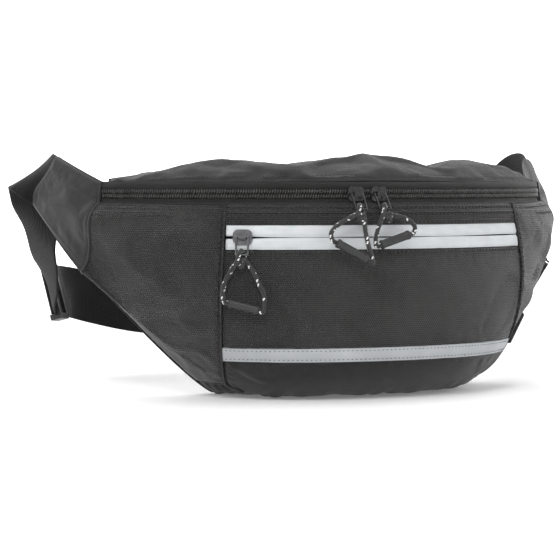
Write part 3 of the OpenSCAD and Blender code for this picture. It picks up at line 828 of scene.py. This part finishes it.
def quilting(p, a, b):
    """Sewn channels that part the padded back into air-mesh cushions."""
    x, z = p[..., 0], p[..., 2]
    rise = 3.4 * np.sin(np.pi * lim(a)) ** 0.4 * np.sin(np.pi * lim(b)) ** 0.5
    groove = sum(np.exp(-((x - c) / 2.6) ** 2) for c in (-62, 62))
    groove = groove + np.exp(-((z - 84) / 2.6) ** 2) * (np.abs(x) < 62)
    return rise - 2.8 * lim(groove)


panel("front_panel", front(STRIP_Z + 0.2, SLIT_Z - BAND_H / 2 - 0.2), 120, 48, arc_uv, extra=slack_front,
      pressure=0.6, spare=0.004, cap=1.2)
panel("front_top_strip", front(SLIT_Z + BAND_H / 2 + 0.2, SEAM_Z), 120, 36, arc_uv, extra=tape_folds,
      depth=0.5, pucker=0.12)
# The bottom panel wears the darker copy of the coated fabric: painted shade on the underside.
panel("bottom_panel", bottom, 120, 54, arc_uv, extra=base_creases, pressure=0.3, spare=0.02, cap=1.4,
      material="base_coated_painted_shade", slot="coated_fabric", pucker=0.5)
panel("side_panel_left", side(-1), 60, 90, arc_uv, extra=side_slack, pressure=0.5, spare=0.01, cap=1.5,
      seed=1)
panel("side_panel_right", side(1), 60, 90, arc_uv, extra=side_slack, pressure=0.5, spare=0.01, cap=1.5,
      seed=2)
panel("gusset_left", gusset(-1), 50, 12, flat_uv, pressure=0.2, spare=0.01, cap=1.0, material="coated")
panel("gusset_right", gusset(1), 50, 12, flat_uv, pressure=0.2, spare=0.01, cap=1.0, material="coated")
panel("top_panel", lambda a, b: top(mix(-0.985, 0.985, a), mix(0.01, 0.985, b)), 140, 40, flat_uv,
      extra=top_folds, pressure=0.3, spare=0.03, cap=2.5, material="top_fabric", pucker=0.5, seed=3)
panel("back_panel", lambda a, b: back(mix(0.985, -0.985, a), mix(0.02, 1, b)), 120, 44, flat_uv,
      extra=quilting, outer=1.3, material="mesh", slot="mesh_fabric", pucker=0.4, depth=1.4,
      stands_for=["back_panel", "back_foam"])


def lining():
    """The pocket's back wall, hanging flat inside the pack."""
    a, b = ab(40, 24)
    z = mix(16, 126, b)
    half = np.interp(z, [16, 30, 52, 75, 120, 127], [58, 84, 96, 100, 100, 96])
    p = np.stack([mix(-1, 1, a) * half, np.full_like(a, ARC_Y - 166.4) + 0.4 * wave(a * 3 + b), z], -1)
    panel_obj = sheet_mesh("pocket_lining", p, 0.3, -0.3, flat_uv(p), material=MAT["lining"],
                           slot="lining_fabric", stands_for=["pocket_lining"])


lining()


# ---- zips ----
def arc_grid(deg0, deg1, na, radii, heights, nb):
    """A strip round the arc whose cross-section runs through radii and heights."""
    a, b = ab(na, nb)
    k = np.linspace(0, 1, len(radii))
    return pol(np.interp(b, k, radii), mix(deg0, deg1, a), np.interp(b, k, heights))


def ripple(p, size, pitch):
    return size * wave(p[..., 0] / pitch + p[..., 2] / 9)


def zip_tapes():
    low = arc_grid(-END_DEG, END_DEG, 160, [202.1, 202.2, 201.4, 200.4, 199.3],
                   [129, 132.8, 133.9, 136, 139.9], 16)
    high = arc_grid(-END_DEG, END_DEG, 160, [199.3, 200.4, 201.0, 200.4, 199.2],
                    [140.1, 143.6, 145, 146.6, 148], 16)
    for name, p in (("zip_tape_front", low), ("zip_tape_rear", high)):
        sheet_mesh(name, p, 0.45 + ripple(p, 0.08, 37), -0.4, arc_uv(p), material=MAT["tape"], slot="zip_tape",
                   stands_for=[name])


def coil(name, deg, z0, reach, side_up, radius, pitch=1.75, thick=0.56):
    """A row of nylon coil turns: each one a bent loop from the tape to its head at the centre line."""
    points, faces = [], []
    count = int(2 * deg / (pitch / radius * 180 / math.pi))
    k = np.linspace(0, 1, 6)
    for i in range(count):
        at = -deg + (i + (0.5 if side_up > 0 else 0)) * 2 * deg / count
        lean = 0.13 * (k - 0.5) * side_up
        r = radius + 1.15 * np.sin(np.pi * np.clip(k * 0.8 + 0.1, 0, 1)) ** 0.6 - 0.2
        c = pol(r, at + lean, z0 + side_up * reach * k)
        n = pol(1, at, 0) - pol(0, at, 0)
        ring = tube_points(c, np.array([[0.9], [1], [1], [1], [1.05], [0.8]]) * thick, 6, n)
        start = i * 36
        points.append(ring.reshape(-1, 3))
        faces += [[start + j for j in f] for f in swept_faces(6, 6)]
    return add_mesh(name, np.concatenate(points), faces, material=MAT["coil"], slot="zip_coil",
                    stands_for=[name])


def coil_thread(name, z):
    """The two rows of sewing that hold each coil to its tape."""
    line = pol(FRONT_R + 1.5, np.linspace(-END_DEG + 2, END_DEG - 2, 300), z)
    return tube(name, line, 0.28, 6, material=MAT["thread"], slot="zip_tape")


zip_tapes()
coil("zip_coil_front", END_DEG - 0.4, ZIP_Z - 3.0, 2.9, 1, FRONT_R + 0.5)
coil("zip_coil_rear", END_DEG - 0.4, ZIP_Z + 3.0, 2.9, -1, FRONT_R + 0.5)
coil_thread("coil_thread_front", ZIP_Z - 1.9)
coil_thread("coil_thread_rear", ZIP_Z + 1.9)
for name, sign in (("pocket_coil_upper", 1), ("pocket_coil_lower", -1)):
    coil(name, POCKET_DEG - 1.2, SLIT_Z + sign * 2.7, 1.7, -sign, front_radius(SLIT_Z) - 2.2, 1.2, 0.4)


def reflective_bands():
    """Two coated tapes that meet over the pocket zip, their lips a little rolled and waved."""
    a, b = ab(140, 14)
    deg = mix(-(POCKET_DEG - 0.2), POCKET_DEG - 0.2, a)
    for name, z0, z1 in (
        ("band_upper", SLIT_Z + 0.12, SLIT_Z + BAND_H / 2 + 0.3),
        ("band_lower", SLIT_Z - 0.12, SLIT_Z - BAND_H / 2 - 0.3),
    ):
        up = 1 if z1 > z0 else -1
        lip = np.exp(-(b * 7.5 / 1.1) ** 2)
        gap = up * (0.16 * wave(a * 2.3 + 0.2) + 0.16 + 0.5 * smooth(0.14, 0.03, a)) * lip
        z = mix(z0, z1, b) + gap
        hem = np.exp(-((1 - b) * 7.5 / 0.8) ** 2)
        r = front_radius(z) + 0.95 - 0.75 * lip + 0.1 * wave(a * 9 + b) - 0.55 * hem
        p = pol(r, deg, z)
        if up < 0:
            p = p[:, ::-1]
        uv = arc_uv(p)
        sheet_mesh(name, p, 0.05, -0.75, uv, material=MAT["white_band"], slot="reflective_white", stands_for=[name])


def reflective_strip():
    a, b = ab(140, 14)
    p = skin_at(mix(-POCKET_U + 0.001, POCKET_U - 0.001, a), STRIP_Z + mix(-STRIP_H / 2, STRIP_H / 2, b))
    d = np.minimum(b, 1 - b) * STRIP_H
    relief = 0.25 * (1 - np.exp(-(d / 0.7) ** 2)) - 0.22 * np.exp(-((d - 1.6) / 0.5) ** 2)
    relief = relief + 0.06 * wave(p[..., 0] / 21)
    sheet_mesh("reflective_strip", p, FABRIC + 0.45 + relief, FABRIC - 0.3, arc_uv(p), material=MAT["grey_strip"],
               slot="reflective_grey", stands_for=["reflective_strip"])


reflective_bands()
reflective_strip()


# ---- wings ----
def rounded(d, size):
    """How far an edge has turned in, d from it."""
    k = lim(1 - d / size)
    return 1 - np.sqrt(np.maximum(0, 1 - k * k))


def make_wing(label, sign):
    a, b = ab(64, 56)
    s = mix(0.0, 1.1, a) if sign > 0 else mix(1.1, 0.0, a)
    p = wing(s, b, sign)
    p = settle(p, sewn(p, width=4), 0.5, 0.012, 1.6)
    a0, a1, b0, b1 = edge_far(p)
    sewn_side, free = (a0, a1) if sign > 0 else (a1, a0)
    d = np.minimum(np.minimum(b0, b1), free)
    seam = 0.9 * np.exp(-(sewn_side / 2) ** 2)
    soft = 0.5 * wave(p[..., 2] / 37 + sewn_side / 61) * lim(d / 15)
    stitched = 0.25 * np.exp(-((d - 4.2) / 0.9) ** 2) * lim(sewn_side / 4)
    outer = FABRIC - 4.2 * rounded(d, 4.5) - seam - stitched + soft
    cover = sheet_mesh("wing_" + label, p, outer, outer - 0.9, run_uv(p), material=MAT["coated"],
                       slot="coated_fabric", stands_for=["wing_" + label])
    inner = -3.0 - 4.2 * (1 - rounded(np.minimum(d, sewn_side), 8)) + 0.3 * soft
    pad = sheet_mesh("wing_pad_" + label, p, np.full_like(inner, -2.6) - 0.6 * rounded(d, 4), inner, run_uv(p),
                     material=MAT["mesh"], slot="mesh_fabric", stands_for=["wing_pad_" + label])
    PANELS["wing_" + label] = p


make_wing("left", -1)
make_wing("right", 1)


# ---- webbing ----
def turned(v):
    a, b, c = np.radians(GLIDE_ROT)
    x, y, z = v
    y, z = y * math.cos(a) - z * math.sin(a), y * math.sin(a) + z * math.cos(a)
    x, z = x * math.cos(b) + z * math.sin(b), -x * math.sin(b) + z * math.cos(b)
    return np.array([x * math.cos(c) - y * math.sin(c), x * math.sin(c) + y * math.cos(c), z])


RUN, FWD, RISE = turned((1, 0, 0)), turned((0, 1, 0)), turned((0, 0, 1))


def by_glide(x, y):
    return np.array(GLIDE_POS) + RUN * x + FWD * y


def ribbon(name, c, w, width, node, slot="webbing", body="bag", per=10):
    """A flat woven strap with soft edges along c, w its half-width direction at each point."""
    c, w = catmull(c, per), catmull(w, per)
    t = line_dirs(c)
    q = unit(w - t * (w * t).sum(-1, keepdims=True))
    n = unit(np.cross(t, q))
    half, thick = width / 2, WEB_T / 2
    face = np.linspace(-half + 0.5, half - 0.5, 17)
    across = np.concatenate([face, [half - 0.1, half], [half, half - 0.1]])
    across = np.concatenate([across, -across])
    up = np.array([thick] * 17 + [thick * 0.75, thick * 0.3] + [-thick * 0.3, -thick * 0.75])
    up = np.concatenate([up, -up])
    rings = c[:, None] + q[:, None] * across[:, None] + n[:, None] * up[:, None]
    far = np.concatenate([[0], np.cumsum(np.linalg.norm(np.diff(c, axis=0), axis=1))])
    uv = np.stack(np.broadcast_arrays(far[:, None], across[None] + half), -1)
    faces = [f[::-1] for f in swept_faces(len(c), len(across))]
    return add_mesh(name, rings.reshape(-1, 3), faces, uv.reshape(-1, 2), material=MAT["webbing"],
                    slot=slot, body=body, stands_for=[node])


LEFT_C = [(-193.6, 73.4, 141.2), (-195.9, 83.8, 148), (-199.9, 94, 152.4), (-200.5, 103, 154), (-198, 111, 152),
          (-194, 118, 145.5), (-191, 124, 132), (-187.5, 130, 118), (-184, 136, 104), (-179.5, 142, 90),
          (-175, 149, 78), by_glide(-15, 0), by_glide(0, 0), by_glide(14, 0), by_glide(28, 0), by_glide(40, 0),
          (-130, 213, 62), (-112, 217, 57), (-86, 218, 51), (-62, 218, 47.5), (-46, 218, 47), (-38.4, 218, 47)]
LEFT_W = [(7, -10, 16), (8, -9, 16), (12, -5, 14), (14, -6, 11), (15, -7, 10), (14, -9, 9), (11, -14, 8),
          (6, -17, 5), (3, -19, 1), (4, -17, -6), (4, -12, -13), *[RISE * -19] * 5, (-3, -1, -19),
          (-4, 0, -18), (-4, 0, -18), (-2, 0, -19), (0, 0, -19), (0, 0, -19)]
RETURN_C = [by_glide(5, 1.75), by_glide(-1, 1.75), by_glide(-3.9, 2.1), by_glide(-4.8, 3.5),
            by_glide(-3.9, 4.9), by_glide(0, 5.2), by_glide(12, 4.8), by_glide(26, 3.6), by_glide(38, 3),
            (-133, 215.4, 62.6), (-112, 220, 57), (-86, 221, 51), (-62, 221, 47.5), (-46, 221.1, 47),
            (-38.6, 221.2, 47)]
RETURN_W = [*[RISE * -19] * 9, (-3, -1, -19), (-4, 0, -18), (-4, 0, -18), (-2, 0, -19), (0, 0, -19), (0, 0, -19)]
RIGHT_C = [(193.6, 73.4, 141.2), (195.9, 83.8, 148), (199, 98, 152.4), (199, 118, 148), (194, 143, 131),
           (182, 168, 107), (160, 190, 82), (128, 208, 61), (95, 216, 51), (66, 216, 47.5), (46, 215.6, 47),
           (32, 215.4, 47), (28.4, 216.2, 47), (27.2, 218, 47), (28.4, 219.8, 47), (32, 220.6, 47), (52, 219.6, 47)]
RIGHT_W = [(-7, -10, 16), (-8, -9, 16), (-6, -6, 17), (-4, 2, 18), (-3, 6, 17), (-2, 8, 17), (2, 7, 17),
           (3, 5, 18), (3, 2, 18), (1, 0, 19), *[(0, 0, 19)] * 7]
belt_left = ribbon("belt_left", LEFT_C, LEFT_W, WEB_W, "belt_left")
belt_return = ribbon("belt_return", RETURN_C, RETURN_W, WEB_W, "belt_return", body=None)
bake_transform(belt_return)
belt_right = ribbon("belt_right", RIGHT_C, RIGHT_W, WEB_W, "belt_right", body=None)
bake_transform(belt_right)


def side_loop():
    """A folded tab of narrow webbing sewn into the right lower seam."""
    turn = np.linspace(90, -90, 13)
    arc = [(1 + 3.5 * math.cos(math.radians(k)), 3.5 * math.sin(math.radians(k))) for k in turn]
    flat = [(-4.9, 3.4), (-3, 3.5), (-1, 3.5)] + arc + [(-1, -3.5), (-3, -3.5), (-4.9, -3.4)]
    tilt, yaw = math.radians(38), math.radians(20)

    def placed(x, y, z):
        x, z = x * math.cos(tilt) + z * math.sin(tilt), -x * math.sin(tilt) + z * math.cos(tilt)
        x, y = x * math.cos(yaw) - y * math.sin(yaw), x * math.sin(yaw) + y * math.cos(yaw)
        return np.array([x + 149.3, y + 31.2, z + 40.8])

    c = [placed(x, y, 0) for x, y in flat]
    w = [placed(0, 0, 1) - placed(0, 0, 0)] * len(c)
    ribbon("side_loop", c, w, 25, "side_loop", per=2)


side_loop()


# ---- CAD pieces that stay: edges softened and given their materials ----
def finish_node(name, material, bevel=0.35):
    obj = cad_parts[name]
    obj.data.materials.clear()
    obj.data.materials.append(MAT[material])
    weld = obj.modifiers.new("weld", "WELD")
    weld.merge_threshold = 1e-6
    if bevel:
        b = obj.modifiers.new("bevel", "BEVEL")
        b.width, b.segments, b.limit_method, b.angle_limit = bevel * MM, 3, "ANGLE", math.radians(35)
        b.harden_normals = False
    for poly in obj.data.polygons:
        poly.use_smooth = True
    by_angle = obj.modifiers.new("normals", "WEIGHTED_NORMAL")
    by_angle.keep_sharp = True


finish_node("triglide", "plastic", 0.5)
for node in ("buckle_female", "buckle_male"):
    finish_node(node, "plastic", 0.5)
for node in ("prong_upper", "prong_lower"):
    finish_node(node, "plastic", 0.3)
for label in ("left", "right"):
    finish_node("main_slider_" + label, "black_metal", 0.3)
    finish_node("bail_" + label, "black_metal", 0)
finish_node("pocket_slider", "gunmetal", 0.3)
finish_node("bail_pocket", "gunmetal", 0)


# ---- rolled seams, binding and stitching ----
def on_panel(u, z, off):
    """Points and outward directions on the front skin."""
    u, z = np.broadcast_arrays(np.asarray(u, float), np.asarray(z, float))
    e = 0.002
    du = skin_at(u + e, z) - skin_at(u - e, z)
    dz = skin_at(u, z + 0.3) - skin_at(u, z - 0.3)
    n = unit(np.cross(du, dz))
    return skin_at(u, z) + n * off, n


def seam_roll(name, line, normals, radius, material, slot, flat=1.0):
    ripples = 1 + 0.06 * wave(np.arange(len(line)) / 11)[:, None]
    return tube(name, line, radius * ripples, 12, n0=normals[0], flat=flat, material=MAT[material], slot=slot)


def rolls():
    for label, sign in (("left", -1), ("right", 1)):
        z = np.linspace(STRIP_Z - 26, SEAM_Z - 1, 120)
        u = np.full_like(z, sign * (POCKET_U + 0.004))
        z = np.maximum(z, edge_z(u) + 1)
        line, n = on_panel(u, z, FABRIC + 0.25)
        seam_roll("seam_roll_" + label, line, n, 0.95, "body_fabric", "body_fabric", 0.8)
        u = sign * np.linspace(POCKET_U - 0.06, 0.995, 160)
        edge = skin(u, 0 * u + 0.004)
        out = unit(edge - np.array([0, 40, 110]))
        seam_roll("edge_roll_" + label, edge + out * 0.5, out, 1.5, "coated", "coated_fabric", 0.8)
        k = np.linspace(0.0, 1.0, 90)
        w = wing(0 * k + 0.004, k, sign)
        out = unit(w - np.array([0, ARC_Y, 0]) * [0, 1, 0] - np.array([0, 0, 1]) * w[:, 2:])
        seam_roll("wing_roll_" + label, w + out * 0.9, out, 0.9, "coated", "coated_fabric", 0.8)


def piping_along_top():
    """The seams on both sides of the main zip, and the back's upper edge."""
    deg = np.linspace(-END_DEG, END_DEG, 220)
    for name, r, z, size in (
        ("seam_front_top", SEAM_R + 0.9, SEAM_Z + 0.2, 0.75),
        ("seam_rear_top", 199.6, TOP_Z + 0.1, 0.7),
    ):
        line = pol(r, deg, z)
        out = line - np.stack([0 * deg, 0 * deg + ARC_Y, line[:, 2]], -1)
        seam_roll(name, line, unit(out), size, "tape", "zip_tape", 0.8)
    u = np.linspace(-0.985, 0.985, 200)
    line = high_edge(u) + [0, 0.6, 0.4]
    seam_roll("seam_back_top", line, np.tile([0, 0, 1.0], (200, 1)), 1.7, "tape", "mesh_fabric", 0.75)


def binding():
    """Woven binding folded over the back panel's lower edge."""
    u = np.linspace(-0.97, 0.97, 200)
    line = low_edge(u) + [0, 2.4, 1.9]
    tube("back_binding", line, 2.5, 16, n0=(0, 1, 0), flat=0.5, material=MAT["tape"], slot="mesh_fabric",
         stands_for=["back_binding"])


def rows_of_stitches():
    rows, ups = [], []
    for z, off in ((130.2, 0.45), (125.8, 0.45), (120.6, 0.1)):
        p, n = on_panel(np.linspace(-POCKET_U + 0.01, POCKET_U - 0.01, 160), z, FABRIC + off)
        rows.append(p), ups.append(n)
    below_band = SLIT_Z - BAND_H / 2 - 2.2
    p, n = on_panel(np.linspace(-POCKET_U + 0.01, POCKET_U - 0.01, 160), below_band, FABRIC + 0.05)
    rows.append(p), ups.append(n)
    for sign in (-1, 1):
        for z in (129.6, 125.2):
            p, n = on_panel(sign * np.linspace(POCKET_U + 0.02, 0.985, 80), z, FABRIC + 0.1)
            rows.append(p), ups.append(n)
        z = np.linspace(STRIP_Z + 2, SEAM_Z - 4, 120)
        p, n = on_panel(0 * z + sign * (POCKET_U + 0.016), z, FABRIC - 0.05)
        rows.append(p), ups.append(n)
    stitches("stitches_front", rows, ups, 3.4, 2.2, 0.42)
    rows, ups = [], []
    for z in (STRIP_Z - 2.9, STRIP_Z + 2.9):
        p, n = on_panel(np.linspace(-POCKET_U + 0.006, POCKET_U - 0.006, 160), z, FABRIC + 0.5)
        rows.append(p), ups.append(n)
    stitches("stitches_strip", rows, ups, 3.1, 1.1, 0.28, "grey_thread", slot="reflective_grey")
    rows, ups = [], []
    for label, sign in (("left", -1), ("right", 1)):
        k = np.linspace(0.03, 0.97, 60)
        w = wing(0 * k + 0.05, k, sign)
        out = unit(w - np.stack([0 * k, 0 * k + ARC_Y, w[:, 2]], -1))
        rows.append(w + out * (FABRIC + 0.05)), ups.append(out)
        p = PANELS["wing_" + label]
        n = grid_normals(p)
        for line, up in ((p[4:-4, 4], n[4:-4, 4]), (p[4:-4, -5], n[4:-4, -5])):
            rows.append(line + up * (FABRIC - 0.5)), ups.append(up)
    stitches("stitches_wings", rows, ups, 2.9, 2.0, 0.22, slot="coated_fabric")
    rows, ups = [], []
    u = np.linspace(-0.95, 0.95, 180)
    p = top(u, 0 * u + 0.05)
    rows.append(p + [0, 0, FABRIC + 0.1]), ups.append(np.tile([0.0, -0.3, 0.95], (len(u), 1)))
    p = back(u, 0 * u + 0.96)
    rows.append(p + [0, 2.0, 0]), ups.append(np.tile([0.0, 1.0, 0.0], (len(u), 1)))
    p = low_edge(u) + [0, 3.8, 3.2]
    rows.append(p), ups.append(np.tile([0.0, 1.0, 0.0], (len(u), 1)))
    stitches("stitches_edges", rows, ups, 3.0, 2.1, 0.24)


rolls()
piping_along_top()
binding()
rows_of_stitches()


# ---- floor, light and air ----
def studio():
    """A pale floor that sweeps up into a round backdrop and carries a painted glow that grows towards the back,
    with soft lamps and a dim white sky.
    """
    profile = [(0, 0), (1.6, 0), (2.3, 0), (2.6, 0.06), (2.85, 0.25), (2.98, 0.6), (3.0, 1.2), (3.0, 4.0)]
    sides = 72
    turn = np.linspace(0, 2 * np.pi, sides, endpoint=False)
    points = [(r * math.cos(k), r * math.sin(k), z) for r, z in profile[1:] for k in turn] + [(0, 0, 0)]
    faces = [[len(points) - 1, j, (j + 1) % sides] for j in range(sides)]
    for i in range(len(profile) - 2):
        for j in range(sides):
            k = (j + 1) % sides
            faces.append([i * sides + j, (i + 1) * sides + j, (i + 1) * sides + k, i * sides + k])
    mesh = bpy.data.meshes.new("floor")
    mesh.from_pydata(points, [], faces)
    mesh.polygons.foreach_set("use_smooth", [True] * len(mesh.polygons))
    floor = bpy.data.objects.new("floor", mesh)
    scene.collection.objects.link(floor)
    m, t, b = nodes_of("floor_paint")
    t.links.new(ramp(t, noise(t, 0.002, 2.0), (0.80, 0.80, 0.80), (0.84, 0.84, 0.84)), b.inputs["Base Color"])
    b.inputs["Roughness"].default_value = 0.9
    # Painted glow: the floor and backdrop give off light of their own, faint near the pack and full towards the
    # back, away from the camera.
    b.inputs["Emission Color"].default_value = (1, 1, 1, 1)
    spot = t.nodes.new("ShaderNodeTexCoord")
    split = t.nodes.new("ShaderNodeSeparateXYZ")
    t.links.new(spot.outputs["Object"], split.inputs[0])
    along = plus(t, times(t, split.outputs[0], 0.41), times(t, split.outputs[1], 0.91))
    glow = t.nodes.new("ShaderNodeMapRange")
    glow.interpolation_type = "SMOOTHSTEP"
    t.links.new(along, glow.inputs["Value"])
    for key, value in (("From Min", 0.6), ("From Max", 2.0), ("To Min", 0.14), ("To Max", 1.0)):
        glow.inputs[key].default_value = value
    t.links.new(glow.outputs["Result"], b.inputs["Emission Strength"])
    mesh.materials.append(m)
    world = bpy.data.worlds.new("air")
    world.use_nodes = True
    world.node_tree.nodes["Background"].inputs[0].default_value = (1, 1, 1, 1)
    world.node_tree.nodes["Background"].inputs[1].default_value = 0.2
    scene.world = world
    for name, place, size, power in (
        ("key", (-1.0, -1.3, 1.5), 0.8, 20),
        ("top", (0.1, 0.1, 1.7), 1.3, 10),
        ("fill", (1.5, -0.9, 0.8), 1.0, 3),
        ("behind", (-0.3, 1.6, 1.2), 1.0, 5),
    ):
        light = bpy.data.lights.new(name, "AREA")
        light.shape, light.size, light.energy = "DISK", size, power
        lamp = bpy.data.objects.new(name, light)
        lamp.location = place
        lamp.rotation_mode = "QUATERNION"
        lamp.rotation_quaternion = (Vector((0, 0.05, 0.08)) - Vector(place)).to_track_quat("-Z", "Y")
        scene.collection.objects.link(lamp)
    scene.view_settings.view_transform = "Standard"


studio()
